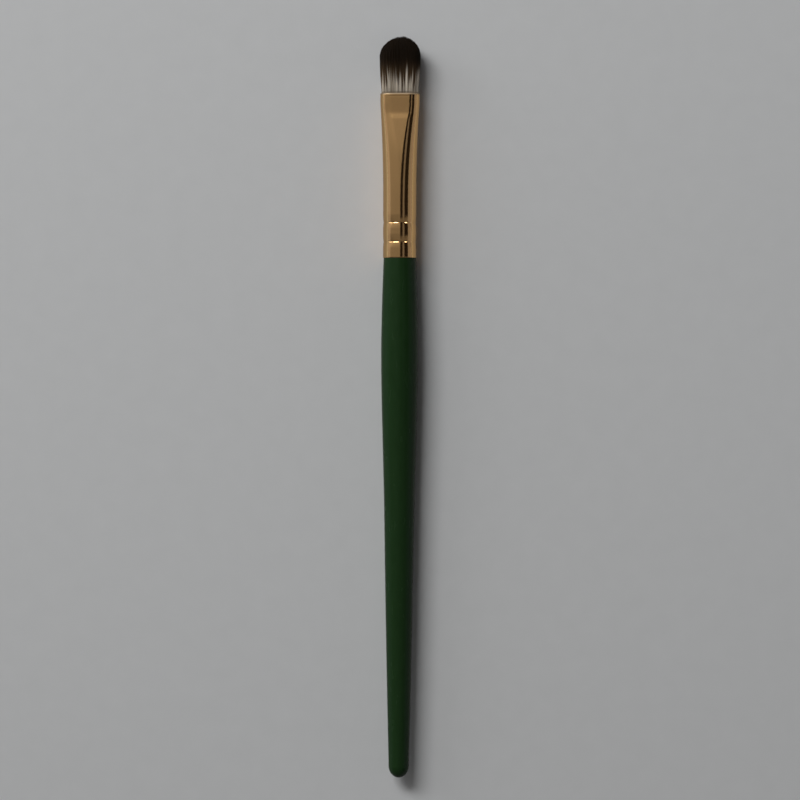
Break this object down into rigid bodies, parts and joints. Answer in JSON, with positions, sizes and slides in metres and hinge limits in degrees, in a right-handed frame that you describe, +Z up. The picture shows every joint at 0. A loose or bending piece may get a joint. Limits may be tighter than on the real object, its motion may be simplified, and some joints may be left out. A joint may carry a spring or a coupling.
{
  "type": "eyeshadow brush",
  "caption": "Slim eyeshadow brush: lacquered turned wooden handle, gold ferrule pressed to a flat oval mouth, and a short domed tuft of two-tone hair.",
  "frame": {"origin": "on the surface that the brush lies on, below the middle of its length and width", "axes": "+Y along the brush from the tip of the handle to the hair, +X across the flat of the ferrule, +Z up"},
  "size_m": [0.0097, 0.1759, 0.0087],
  "materials": {
    "hair": "soft matte natural hair",
    "epoxy": "cured clear resin",
    "gold_tube": "polished pale gold",
    "glue": "cured wood glue",
    "green_lacquer": "satin dark green lacquer"
  },
  "bodies": {
    "root": {"hair_tuft": "hair", "root_plug": "epoxy", "ferrule": "gold_tube", "tenon_glue": "glue", "handle": "green_lacquer"}
  },
  "joints": []
}
